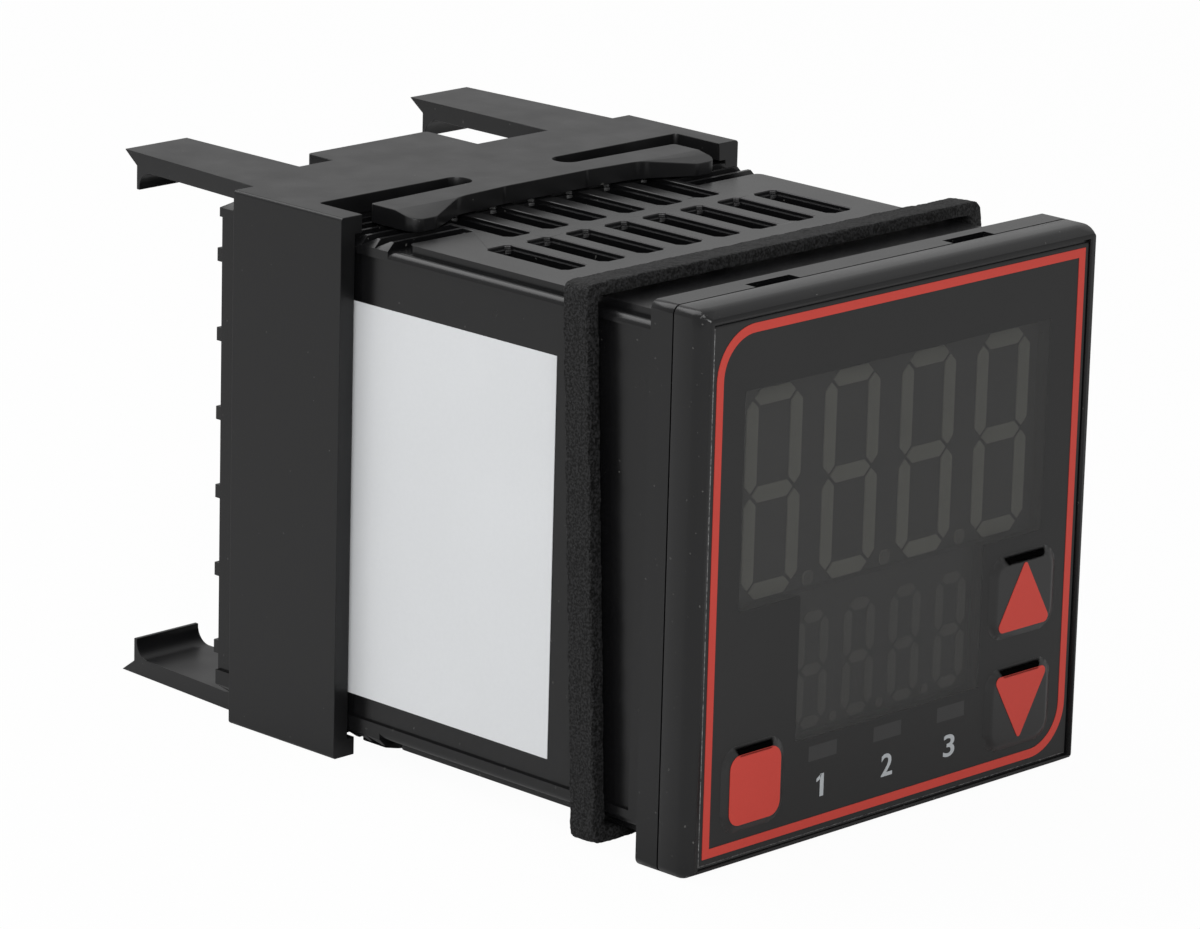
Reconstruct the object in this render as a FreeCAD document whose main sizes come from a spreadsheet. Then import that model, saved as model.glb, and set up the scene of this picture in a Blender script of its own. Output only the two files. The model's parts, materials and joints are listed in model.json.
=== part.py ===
import FreeCAD, Part
import math
import os
import re
import Sketcher

# A panel-mounted temperature controller with its clamp collar and panel gasket.
# The origin is the centre of the panel plane, which is the rear face of the sleeve's flange:
# X to the right seen from the front, Y to the rear, Z up. All sizes are millimetres.
sizes = {
    # front
    "face_width": 48, "face_height": 47.4, "face_corner": 1.8, "flange_depth": 2.4, "split_gap": 0.05,
    "bezel_depth": 3.55, "bezel_inset": 0.6, "bezel_slope": 1.1, "bezel_plate": 1.2,
    "pry_left": 9.3, "pry_width": 5.2, "pry_depth": 1.2, "pry_height": 1.1,
    # sleeve
    "sleeve_width": 44.6, "sleeve_height": 44.0, "sleeve_length": 53, "sleeve_wall": 1.6,
    "ledge_drop": 0.7, "ledge_width": 1.1, "shoulder_radius": 0.7,
    "track_length": 22.1, "track_width": 8.7, "rib_pitch": 1.6, "rib_height": 0.7, "rib_land": 0.35,
    "land_length": 2.6, "panel_recess": 0.3, "recess_above": 1.5, "recess_below": 2.0,
    "vent_pitch": 4.6, "vent_width": 2.9, "vent_corner": 0.5, "vent_start": 16.2,
    "vent_length": 9.4, "vent_row_gap": 1.8, "vent_step": 0.35, "vent_step_depth": 0.6,
    # film, window and prints
    "rim_side": 1.15, "rim_above": 1.5, "rim_below": 0.9, "film_thickness": 0.2, "film_recess": 0.2,
    "film_clearance": 0.1, "print_thickness": 0.05, "border_side": 0.55, "border_above": 0.2,
    "border_below": 0.7, "border_line": 0.77, "border_radius": 4.3,
    "window_offset": -0.3, "window_inset": 5.7, "upper_window_height": 18.4, "lower_window_height": 12.5,
    "upper_window_width": 37.2, "lower_window_width": 22.6, "window_thickness": 0.9,
    "display_gap": 0.15, "segment_thickness": 0.1, "module_wall": 0.8,
    "upper_digit_width": 6.55, "upper_digit_height": 17.6, "upper_digit_pitch": 9.3,
    "upper_segment": 1.35, "upper_digit_drop": 9.3, "upper_point": 1.2,
    "lower_digit_width": 3.75, "lower_digit_height": 10.0, "lower_digit_pitch": 5.65,
    "lower_segment": 0.95, "lower_digit_drop": 7.05, "lower_point": 0.8, "segment_gap": 0.22,
    "lamp_pitch": 7.9, "lamp_width": 3.4, "lamp_height": 1.3, "lamp_drop": 1.4,
    "lamp_chip": 0.8, "lamp_margin": 0.3,
    # keys
    "square_width": 7.3, "arrow_width": 8.3, "key_height": 7.3, "key_radius": 1.8, "key_rise": 0.35,
    "key_slope": 0.6, "key_travel": 0.4, "key_clearance": 0.06, "square_inset": 6.2, "arrow_inset": 6.8,
    "key_inset": 5.9, "key_pitch": 9.9, "print_margin": 0.05, "arrow_radius": 0.5,
    "pusher_side": 2.6, "pusher_inset": 1.0, "switch_side": 4.4, "switch_height": 2.6,
    "button_side": 2.2, "button_height": 0.7, "running_gap": 0.2,
    # chassis and boards
    "skirt_clearance": 0.25, "skirt_wall": 1.0, "skirt_length": 5.5, "board_thickness": 1.2,
    "display_board_front": 1.2, "board_edge_gap": 0.2, "card_pitch": 13.6, "card_thickness": 1.6,
    "card_height": 36, "card_length": 40.6, "header_side": 2.5, "header_length": 30,
    "core_width": 10.2, "core_height": 16, "core_length": 12, "core_window": 3.2,
    "capacitor_radius": 4, "capacitor_length": 9, "relay_width": 7.5, "relay_height": 15,
    "relay_length": 18, "chip_side": 9, "chip_height": 1.2,
    # terminals
    "terminal_rows": 5, "row_pitch": 7.05, "row_level": -1.25, "block_clearance": 0.15,
    "block_front": 38, "block_floor": 47.2, "fin_thickness": 1.2, "fin_overhang": 2.6,
    "column_wall": 1.0, "plate_thickness": 0.8, "plate_width": 5.4, "plate_height": 5.0,
    "screw_radius": 2.6, "screw_head": 2.0,
    "contact_thickness": 0.4, "contact_height": 3, "contact_length": 5.5, "card_clearance": 0.25,
    # gasket
    "gasket_clearance": 0.2, "gasket_side": 1.5, "gasket_rim": 1.3, "gasket_thickness": 2.9,
    "gasket_corner": 1.0,
    "gasket_place": 7.45, "gasket_tilt": 3,
    # clamp collar
    "clamp_clearance": 0.1, "clamp_start": 36, "clamp_length": 13.4, "clamp_corner": 0.3,
    "clamp_overlap": 1.0, "strip_width": 2.4, "spring_slot": 2.5, "spring_width": 2.9,
    "slot_end": 5.4, "slot_radius": 1.2, "slot_narrowing": 0.4, "slot_corner": 0.4,
    "wing_tip": 18.4, "wing_flat": 2.6, "wing_reach": 2.9, "wing_radius": 1.2, "wing_middle": 10.8,
    "wing_start": 5.0, "wing_lift": 0.4, "wing_curve": 6.0, "wing_bevel": 0.5, "bevel_start": 0.5,
    "tab_left": 9.6, "tab_right": 4.8, "tab_length": 6.5, "tab_radius": 0.5, "web_length": 3.2,
    "arm_inner": 13.5, "arm_outer": 21.7, "arm_taper": 1.0, "arm_length": 17.8, "lip_depth": 1.7,
    "lip_wall": 0.4, "lip_fillet": 1.5, "tip_slant": 1.7, "tip_drop": 1.2,
    # label
    "label_front": 12.3, "label_length": 35, "label_top": 16.3, "label_height": 34.4,
    "label_thickness": 0.08,
}

doc = FreeCAD.newDocument("temperature_controller")
sheet = doc.addObject("Spreadsheet::Sheet", "dims")
for row, (alias, size) in enumerate(sizes.items(), 1):
    sheet.set(f"A{row}", alias.replace("_", " "))
    sheet.set(f"B{row}", str(size))
    sheet.setAlias(f"B{row}", alias)
doc.recompute()


# A formula is written with the bare names of the sheet; linked() adds the sheet's name to each.
def linked(formula):
    return re.sub(r"[a-z_]{2,}", lambda word: "dims." + word[0] if word[0] in sizes else word[0], formula)


def number(formula):
    return float(sheet.evalExpression(linked(formula)))


def bind(item, prop, formula):
    item.setExpression(prop, linked(formula))


# Each axis has the origin plane across it and the way that the plane faces along the axis.
planes = {"X": ("YZ_Plane", 1), "Y": ("XZ_Plane", -1), "Z": ("XY_Plane", 1)}


# A drawing collects the geometry and constraints of one sketch, so that they are added together.
class Drawing:
    def __init__(self):
        self.geometry = []
        self.constraints = []
        self.values = []

    def add(self, shape, construction=False):
        self.geometry.append((shape, construction))
        return len(self.geometry) - 1

    def constrain(self, kind, *places, value=None):
        if value is not None:
            self.values.append((len(self.constraints), value))
            places += (number(value),)
        self.constraints.append(Sketcher.Constraint(kind, *places))

    # Both coordinates of a point, bound to two formulas.
    def pin(self, geometry, end, across, up):
        self.constrain("DistanceX", -1, 1, geometry, end, value=across)
        self.constrain("DistanceY", -1, 1, geometry, end, value=up)

    def commit(self, sketch):
        sketch.addGeometry([shape for shape, construction in self.geometry])
        for index, (shape, construction) in enumerate(self.geometry):
            if construction:
                sketch.setConstruction(index, True)
        sketch.addConstraint(self.constraints)
        for index, value in self.values:
            bind(sketch, f"Constraints[{index}]", value)


def draw_circle(drawing, across, up, radius):
    centre = FreeCAD.Vector(number(across), number(up), 0)
    ring = drawing.add(Part.Circle(centre, FreeCAD.Vector(0, 0, 1), number(radius)))
    drawing.pin(ring, 3, across, up)
    drawing.constrain("Radius", ring, value=radius)


# A closed outline: each corner is (across, up) or (across, up, radius), all of them formulas.
# A rounded corner keeps its own construction point, where the two lines would meet.
def draw_outline(drawing, corners):
    points = [FreeCAD.Vector(number(corner[0]), number(corner[1]), 0) for corner in corners]
    count = len(corners)
    starts, ends, arcs = list(points), list(points), {}
    for i, corner in enumerate(corners):
        if len(corner) == 3:
            before = (points[i - 1] - points[i]).normalize()
            after = (points[(i + 1) % count] - points[i]).normalize()
            radius = number(corner[2])
            half = before.getAngle(after) / 2
            middle = (before + after).normalize()
            centre = points[i] + middle * (radius / math.sin(half))
            ends[i] = points[i] + before * (radius / math.tan(half))
            starts[i] = points[i] + after * (radius / math.tan(half))
            arcs[i] = (centre, radius, before.cross(after).z < 0)
    lines = [drawing.add(Part.LineSegment(starts[i], ends[(i + 1) % count])) for i in range(count)]
    for i, corner in enumerate(corners):
        coming, leaving = lines[i - 1], lines[i]
        if i not in arcs:
            drawing.constrain("Coincident", coming, 2, leaving, 1)
            drawing.pin(leaving, 1, corner[0], corner[1])
            continue
        centre, radius, left_turn = arcs[i]
        first, last = (ends[i], starts[i]) if left_turn else (starts[i], ends[i])
        turn = [math.atan2((p - centre).y, (p - centre).x) for p in (first, last)]
        whole = Part.Circle(centre, FreeCAD.Vector(0, 0, 1), radius)
        arc = drawing.add(Part.ArcOfCircle(whole, turn[0], turn[1]))
        point = drawing.add(Part.Point(points[i]), True)
        drawing.pin(point, 1, corner[0], corner[1])
        drawing.constrain("PointOnObject", point, 1, coming)
        drawing.constrain("PointOnObject", point, 1, leaving)
        near, far = (1, 2) if left_turn else (2, 1)
        drawing.constrain("Tangent", coming, 2, arc, near)
        drawing.constrain("Tangent", leaving, 1, arc, far)
        drawing.constrain("Radius", arc, value=corner[2])


# Loops for extrude(): an outline of corners, a rectangle and a circle.
def outline(*corners):
    return lambda drawing: draw_outline(drawing, corners)


def rectangle(left, right, low, high, radius=None):
    corners = [(left, low), (right, low), (right, high), (left, high)]
    return outline(*[corner + (radius,) if radius else corner for corner in corners])


def bevelled(left, right, low, high, cut):
    return outline((left, f"{low} + {cut}"), (f"{left} + {cut}", low), (f"{right} - {cut}", low),
                   (right, f"{low} + {cut}"), (right, f"{high} - {cut}"), (f"{right} - {cut}", high),
                   (f"{left} + {cut}", high), (left, f"{high} - {cut}"))


def around(width, height, radius=None):
    return rectangle(f"-({width})/2", f"({width})/2", f"-({height})/2", f"({height})/2", radius)


def circle(across, up, radius):
    return lambda drawing: draw_circle(drawing, across, up, radius)


# Pads or pockets loops from one level along an axis to a higher one.
def extrude(body, kind, name, axis, start, end, *loops):
    role, facing = planes[axis]
    sketch = body.newObject("Sketcher::SketchObject", f"{body.Label}_{name}_sketch")
    plane = next(item for item in body.Origin.OriginFeatures if item.Role == role)
    sketch.AttachmentSupport = [(plane, "")]
    sketch.MapMode = "FlatFace"
    bind(sketch, "AttachmentOffset.Base.z", f"({start})*{facing}")
    drawing = Drawing()
    for loop in loops:
        loop(drawing)
    drawing.commit(sketch)
    feature = body.newObject(f"PartDesign::{kind}", f"{body.Label}_{name}")
    feature.Profile = sketch
    feature.Reversed = (facing < 0) == (kind == "Pad")
    bind(feature, "Length", f"({end})-({start})")
    return feature


def pad(body, name, axis, start, end, *loops):
    return extrude(body, "Pad", name, axis, start, end, *loops)


def pocket(body, name, axis, start, end, *loops):
    return extrude(body, "Pocket", name, axis, start, end, *loops)


# Slopes all edges at a level of the body so far: inwards across the face there, and back along Y.
def slope_edges(body, level, inset, depth):
    doc.recompute()
    base, front = body.Tip, number(level)
    picked = [f"Edge{index}" for index, edge in enumerate(base.Shape.Edges, 1)
              if abs(edge.BoundBox.YMin - front) < 0.01 and edge.BoundBox.YLength < 0.01]
    feature = body.newObject("PartDesign::Chamfer", f"{body.Label}_slope")
    feature.Base = (base, picked)
    feature.ChamferType = "Two distances"
    feature.FlipDirection = False
    bind(feature, "Size", depth)
    bind(feature, "Size2", inset)


# Repeats features of a body along X at an even spacing.
def repeat(body, name, originals, count, spacing):
    pattern = body.newObject("PartDesign::LinearPattern", f"{body.Label}_{name}")
    pattern.Originals = originals
    pattern.Direction = (next(item for item in body.Origin.OriginFeatures if item.Role == "X_Axis"), [""])
    pattern.Mode = "Spacing"
    pattern.Occurrences = count
    bind(pattern, "Offset", spacing)
    body.Tip = pattern


pieces = []


def piece(name):
    body = doc.addObject("PartDesign::Body", name)
    body.Label = name
    pieces.append(body)
    return body


# Levels and half sizes that several pieces share.
half_width = "(sleeve_width/2)"
half_height = "(sleeve_height/2)"
ledge_height = "(sleeve_height - 2*ledge_drop)"
cavity_width = "(sleeve_width - 2*sleeve_wall)"
cavity_height = "(sleeve_height - 2*ledge_drop - 2*sleeve_wall)"
bezel_rear = "(-flange_depth - split_gap)"
bezel_front = "(-flange_depth - split_gap - bezel_depth)"
film_front = f"({bezel_front} + film_recess)"
film_rear = f"({bezel_front} + film_recess + film_thickness)"
plate_rear = f"({film_rear} + bezel_plate)"
skirt_width = f"({cavity_width} - 2*skirt_clearance)"
skirt_height = f"({cavity_height} - 2*skirt_clearance)"
hollow_width = f"({skirt_width} - 2*skirt_wall)"
hollow_height = f"({skirt_height} - 2*skirt_wall)"
display_front = f"({film_front} + window_thickness + display_gap)"
film_left, film_right = "(rim_side - face_width/2)", "(face_width/2 - rim_side)"
film_low, film_high = "(rim_below - face_height/2)", "(face_height/2 - rim_above)"
window_top = f"({film_high} - window_inset)"
window_waist = f"({window_top} - upper_window_height)"
window_bottom = f"({window_waist} - lower_window_height)"
board_front = "display_board_front"
board_rear = "(display_board_front + board_thickness)"
card_rear = f"({board_rear} + card_length)"
columns = {"left": "-card_pitch", "middle": "0", "right": "card_pitch"}
row_count = sizes["terminal_rows"]
rows = [f"(row_level + row_pitch*{i - (row_count - 1) / 2})" for i in range(row_count)]

# The keys: centre across, centre up and width.
arrow_place, key_level = f"({film_right} - arrow_inset)", f"({film_low} + key_inset)"
keys = {"square": (f"({film_left} + square_inset)", key_level, "square_width"),
        "up": (arrow_place, f"({key_level} + key_pitch)", "arrow_width"),
        "down": (arrow_place, key_level, "arrow_width")}


# A square loop about the axis of a key's pusher, on which its switch stands as well.
def pusher_loop(name, side):
    across, up, width = keys[name]
    level = f"({up} + pusher_inset)"
    return rectangle(f"{across} - ({side})/2", f"{across} + ({side})/2",
                     f"{level} - ({side})/2", f"{level} + ({side})/2")


# The T-shaped display window, grown by a clearance on every side.
def window_outline(grow="0"):
    wide = f"(upper_window_width/2 + {grow})"
    slim = f"(lower_window_width/2 + {grow})"
    top, bottom = f"({window_top} + {grow})", f"({window_bottom} - {grow})"
    waist = f"({window_waist} - {grow})"
    middle = "window_offset"
    return outline((f"{middle} - {slim}", bottom), (f"{middle} + {slim}", bottom),
                   (f"{middle} + {slim}", waist), (f"{middle} + {wide}", waist),
                   (f"{middle} + {wide}", top), (f"{middle} - {wide}", top),
                   (f"{middle} - {wide}", waist), (f"{middle} - {slim}", waist))


def lamp_loops(grow="0"):
    wide, high = f"(lamp_width/2 + {grow})", f"(lamp_height/2 + {grow})"
    level = f"({window_bottom} - lamp_drop)"
    middles = [f"(window_offset + lamp_pitch*{i})" for i in (-1, 0, 1)]
    return [rectangle(f"{middle} - {wide}", f"{middle} + {wide}", f"{level} - {high}", f"{level} + {high}")
            for middle in middles]


def key_loop(name, grow="0"):
    across, up, width = keys[name]
    wide, high = f"({width}/2 + {grow})", f"(key_height/2 + {grow})"
    return rectangle(f"{across} - {wide}", f"{across} + {wide}", f"{up} - {high}", f"{up} + {high}",
                     f"(key_radius + {grow})")


def build_sleeve():
    body = piece("housing_sleeve")
    pad(body, "tube", "Y", "0", "sleeve_length",
        around("sleeve_width", ledge_height, "shoulder_radius"))
    # The raised plates above and below narrow behind the vents to make room for the ratchet tracks.
    side = f"({half_width} - ledge_width)"
    inner = f"({half_width} - track_width)"
    turn = "(sleeve_length - track_length)"
    pad(body, "plates", "Z", f"-{half_height}", half_height,
        outline((f"-{side}", "0"), (side, "0"), (side, turn, "shoulder_radius"), (inner, turn),
                (inner, "sleeve_length"), (f"-{inner}", "sleeve_length"), (f"-{inner}", turn),
                (f"-{side}", turn, "shoulder_radius")))
    # Ratchet ribs: steep towards the panel, sloping to the rear.
    count = int(number("track_length/rib_pitch"))
    for way, sign in (("upper", ""), ("lower", "-")):
        low = f"{sign}({half_height} - rib_height - sleeve_wall/2)"
        high = f"{sign}{half_height}"
        foot = f"{sign}({half_height} - rib_height)"
        comb = [("sleeve_length", low), (f"{turn} + rib_pitch - rib_land", low)]
        for i in range(count):
            start = f"{turn} + rib_pitch*{i + 1}"
            comb += [(f"{start} - rib_land", foot)] if i else []
            comb += [(f"{start} - rib_land", high), (start, high)]
        comb.append(("sleeve_length", foot))
        pad(body, f"{way}_ribs", "X", f"-{half_width}", half_width, outline(*comb))
    pocket(body, "shoulders", "Y", "0", "sleeve_length",
           around("2*face_width", "2*face_height"),
           bevelled(f"-{half_width}", half_width, f"-{half_height}", half_height, "shoulder_radius"))
    pad(body, "flange", "Y", "-flange_depth", "0", around("face_width", "face_height", "face_corner"))
    pocket(body, "cavity", "Y", "-flange_depth", "sleeve_length", around(cavity_width, cavity_height))
    for side_name, start, end in (("left", f"-{half_width}", f"-{half_width} + panel_recess"),
                                  ("right", f"{half_width} - panel_recess", half_width)):
        pocket(body, f"{side_name}_recess", "X", start, end,
               rectangle("land_length", "sleeve_length", f"recess_below - {half_height}",
                         f"{half_height} - recess_above"))
    # Two rows of ventilation slots, each with a stepped edge, through the top and the bottom.
    for row, count in (("front", 8), ("rear", 6)):
        start = "vent_start" if row == "front" else "(vent_start + vent_length + vent_row_gap)"
        middle = f"(-vent_pitch*{(count - 1) / 2})"
        mouth = bevelled(f"{middle} - vent_width/2", f"{middle} + vent_width/2", start,
                         f"{start} + vent_length", "vent_corner")
        throat = rectangle(f"{middle} - vent_width/2 + vent_step", f"{middle} + vent_width/2",
                           f"{start} + vent_step", f"{start} + vent_length - vent_step")
        step = f"({half_height} - vent_step_depth)"
        slot = [pocket(body, f"{row}_upper_mouth", "Z", step, half_height, mouth),
                pocket(body, f"{row}_lower_mouth", "Z", f"-{half_height}", f"-{step}", mouth),
                pocket(body, f"{row}_throat", "Z", f"-{half_height}", half_height, throat)]
        repeat(body, f"{row}_vents", slot, count, "vent_pitch")
    # Two slots at the split line take a screwdriver tip to draw the chassis.
    for name, left in (("left", "-pry_left - pry_width"), ("right", "pry_left")):
        pocket(body, f"{name}_pry_slot", "Y", "-flange_depth", "-flange_depth + pry_depth",
               rectangle(left, f"{left} + pry_width", "face_height/2 - pry_height", "face_height/2"))


def build_bezel():
    body = piece("front_bezel")
    pad(body, "frame", "Y", bezel_front, bezel_rear, around("face_width", "face_height", "face_corner"))
    slope_edges(body, bezel_front, "bezel_inset", "bezel_slope")
    pocket(body, "film_seat", "Y", bezel_front, film_rear,
           rectangle(f"{film_left} - film_clearance", f"{film_right} + film_clearance",
                     f"{film_low} - film_clearance", f"{film_high} + film_clearance"))
    pad(body, "skirt", "Y", bezel_rear, f"{bezel_rear} + skirt_length", around(skirt_width, skirt_height))
    pocket(body, "hollow", "Y", plate_rear, f"{bezel_rear} + skirt_length",
           around(hollow_width, hollow_height))
    pocket(body, "openings", "Y", film_rear, plate_rear, window_outline("running_gap"),
           *lamp_loops("running_gap"))
    seat = f"({film_rear} + key_travel + running_gap/2)"
    pocket(body, "key_seats", "Y", film_rear, seat, *[key_loop(name, "key_clearance") for name in keys])
    pocket(body, "pusher_holes", "Y", seat, plate_rear,
           *[pusher_loop(name, "pusher_side + 2*running_gap") for name in keys])


def build_film():
    film = piece("film_overlay")
    pad(film, "sheet", "Y", film_front, film_rear, rectangle(film_left, film_right, film_low, film_high),
        window_outline(), *lamp_loops(), *[key_loop(name, "key_clearance") for name in keys])
    # The red line has two sharp and two round corners.
    border = piece("border_print")
    loops = []
    for inset in ("0", "border_line"):
        left, right = f"({film_left} + border_side + {inset})", f"({film_right} - border_side - {inset})"
        low, high = f"({film_low} + border_below + {inset})", f"({film_high} - border_above - {inset})"
        radius = f"(border_radius - {inset})"
        loops.append(outline((left, low), (right, low, radius), (right, high), (left, high, radius)))
    pad(border, "line", "Y", f"{film_front} - print_thickness", film_front, *loops)
    window = piece("display_window")
    pad(window, "pane", "Y", film_front, f"{film_front} + window_thickness", window_outline())
    lamps = piece("light_pipes")
    pad(lamps, "pipes", "Y", film_front, f"{board_front} - lamp_chip", *lamp_loops())
    chips = piece("indicator_lamps")
    pad(chips, "chips", "Y", f"{board_front} - lamp_chip", board_front, *lamp_loops("-lamp_margin"))


# One seven-segment digit as hexagonal bars whose mitred ends nearly meet.
def digit_loops(left, low, width, height, bar):
    half = f"({bar}/2)"
    right, high = f"({left} + {width})", f"({low} + {height})"
    centre = f"({low} + {height}/2)"
    loops = []
    for level in (f"({low} + {half})", centre, f"({high} - {half})"):
        start, end = f"({left} + {half} + segment_gap)", f"({right} - {half} - segment_gap)"
        loops.append(outline((start, level), (f"{start} + {half}", f"{level} - {half}"),
                             (f"{end} - {half}", f"{level} - {half}"), (end, level),
                             (f"{end} - {half}", f"{level} + {half}"),
                             (f"{start} + {half}", f"{level} + {half}")))
    for column in (f"({left} + {half})", f"({right} - {half})"):
        for start, end in ((f"({low} + {half} + segment_gap)", f"({centre} - segment_gap)"),
                           (f"({centre} + segment_gap)", f"({high} - {half} - segment_gap)")):
            loops.append(outline((column, start), (f"{column} + {half}", f"{start} + {half}"),
                                 (f"{column} + {half}", f"{end} - {half}"), (column, end),
                                 (f"{column} - {half}", f"{end} - {half}"),
                                 (f"{column} - {half}", f"{start} + {half}")))
    return loops


# A display stands behind its part of the window, between two levels.
def build_display(name, bottom, top):
    width, height = f"{name}_digit_width", f"{name}_digit_height"
    pitch, point = f"{name}_digit_pitch", f"{name}_point"
    level = f"({top} - {name}_digit_drop)"
    segments = piece(f"{name}_segments")
    rear = f"{display_front} + segment_thickness"
    digit = digit_loops(f"(window_offset - {pitch}*1.5 - {width}/2)", f"({level} - {height}/2)", width,
                        height, f"{name}_segment")
    bars = pad(segments, "bars", "Y", display_front, rear, *digit)
    repeat(segments, "digits", [bars], 4, pitch)
    across, low = f"(window_offset - {pitch})", f"({level} - {height}/2)"
    dot = pad(segments, "dot", "Y", display_front, rear,
              bevelled(f"{across} - {point}/2", f"{across} + {point}/2", low, f"{low} + {point}",
                       f"({point}/4)"))
    repeat(segments, "dots", [dot], 3, pitch)
    module = piece(f"{name}_display")
    edge = f"(min({name}_window_width; {hollow_width} - 2*running_gap)/2 - running_gap)"
    low_edge, high_edge = f"({bottom} + running_gap)", f"({top} - running_gap)"
    pad(module, "case", "Y", f"{display_front} + segment_thickness", board_front,
        rectangle(f"window_offset - {edge}", f"window_offset + {edge}", low_edge, high_edge))
    # The case is open at the rear, with a wall that the cells share.
    pocket(module, "rear", "Y", f"{display_front} + segment_thickness + module_wall", board_front,
           *[rectangle(f"window_offset + {start} + module_wall/2", f"window_offset + {end} - module_wall/2",
                       f"{low_edge} + module_wall", f"{high_edge} - module_wall")
             for start, end in ((f"(-{edge} + module_wall/2)", "0"),
                                ("0", f"({edge} - module_wall/2)"))])


def build_keys():
    for name, (across, up, width) in keys.items():
        body = piece(f"key_{name}")
        head = f"({film_front} - key_rise)"
        pad(body, "plate", "Y", head, film_rear, key_loop(name))
        slope_edges(body, head, "key_slope", "key_rise")
        button_front = f"({board_front} - switch_height - button_height)"
        pad(body, "pusher", "Y", film_rear, button_front, pusher_loop(name, "pusher_side"))
        button = piece(f"button_{name}")
        pad(button, "cap", "Y", button_front, f"{board_front} - switch_height - running_gap/2 + key_travel",
            pusher_loop(name, "button_side"))
        print_body = piece(f"print_{name}")
        # The red field takes the flat top of the key, within a small margin.
        wide, high = f"({width}/2 - key_slope - print_margin)", "(key_height/2 - key_slope - print_margin)"
        left, right = f"{across} - {wide}", f"{across} + {wide}"
        low, top = f"{up} - {high}", f"{up} + {high}"
        shapes = {
            "square": rectangle(left, right, low, top, "(key_radius - key_slope)"),
            "up": outline((left, low, "arrow_radius"), (right, low, "arrow_radius"),
                          (across, top, "arrow_radius/2")),
            "down": outline((left, top, "arrow_radius"), (across, low, "arrow_radius/2"),
                            (right, top, "arrow_radius")),
        }
        pad(print_body, "field", "Y", f"{head} - print_thickness", head, shapes[name])


def build_boards():
    board = piece("display_board")
    pad(board, "sheet", "Y", board_front, board_rear,
        around(f"{hollow_width} - 2*board_edge_gap", f"{hollow_height} - 2*board_edge_gap"))
    switches = piece("tact_switches")
    pad(switches, "cases", "Y", f"{board_front} - switch_height", board_front,
        *[pusher_loop(name, "switch_side") for name in keys])
    pocket(switches, "wells", "Y", f"{board_front} - switch_height",
           f"{board_front} - switch_height + 2*key_travel",
           *[pusher_loop(name, "button_side + running_gap") for name in keys])
    headers = piece("board_headers")
    card_edge = "card_thickness/2"
    strips = [rectangle(f"{middle} + {card_edge}", f"{middle} + {card_edge} + header_side",
                        "-header_length/2", "header_length/2") for middle in columns.values()]
    pad(headers, "strips", "Y", board_rear, f"{board_rear} + header_side", *strips)
    for name, middle in (("input_board", columns["left"]), ("output_board", columns["middle"]),
                         ("power_board", columns["right"])):
        card = piece(name)
        pad(card, "sheet", "X", f"{middle} - {card_edge}", f"{middle} + {card_edge}",
            outline((board_rear, "-card_height/2"), (card_rear, "-card_height/2", "card_thickness"),
                    (card_rear, "card_height/2", "card_thickness"), (board_rear, "card_height/2")))
    # What stands on the cards faces the free space on their left.
    face = f"{columns['right']} - {card_edge}"
    start = f"({board_rear} + header_side + running_gap)"
    core = piece("transformer_core")
    pad(core, "stack", "X", f"{face} - core_width", face,
        rectangle(start, f"{start} + core_length", "-core_height/2", "core_height/2"))
    # Each of its two windows is filled by one side of the winding.
    windows = [rectangle(f"{start} + core_window/2", f"{start} + core_length - core_window/2",
                         f"{sign}core_height/4 - core_window/2", f"{sign}core_height/4 + core_window/2")
               for sign in ("", "-")]
    pocket(core, "windows", "X", f"{face} - core_width", face, *windows)
    winding = piece("transformer_winding")
    pad(winding, "coil", "X", f"{face} - core_width + module_wall", f"{face} - module_wall", *windows)
    capacitors = piece("supply_capacitors")
    after_core = f"({start} + core_length + running_gap)"
    spots = [(f"{after_core} + capacitor_radius", f"{sign}(capacitor_radius + running_gap)")
             for sign in ("", "-")]
    pad(capacitors, "cans", "X", f"{face} - capacitor_length", face,
        *[circle(across, up, "capacitor_radius") for across, up in spots])
    relays = piece("output_relays")
    face = f"{columns['middle']} - {card_edge}"
    pad(relays, "cases", "X", f"{face} - relay_width", face,
        *[rectangle(start, f"{start} + relay_length", low, f"{low} + relay_height")
          for low in ("running_gap", "(-running_gap - relay_height)")])
    chips = piece("processor_chips")
    face = f"{columns['left']} - {card_edge}"
    pad(chips, "packages", "X", f"{face} - chip_height", face,
        *[rectangle(after_core, f"{after_core} + chip_side", low, f"{low} + chip_side")
          for low in ("running_gap", "(-running_gap - chip_side)")])


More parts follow.
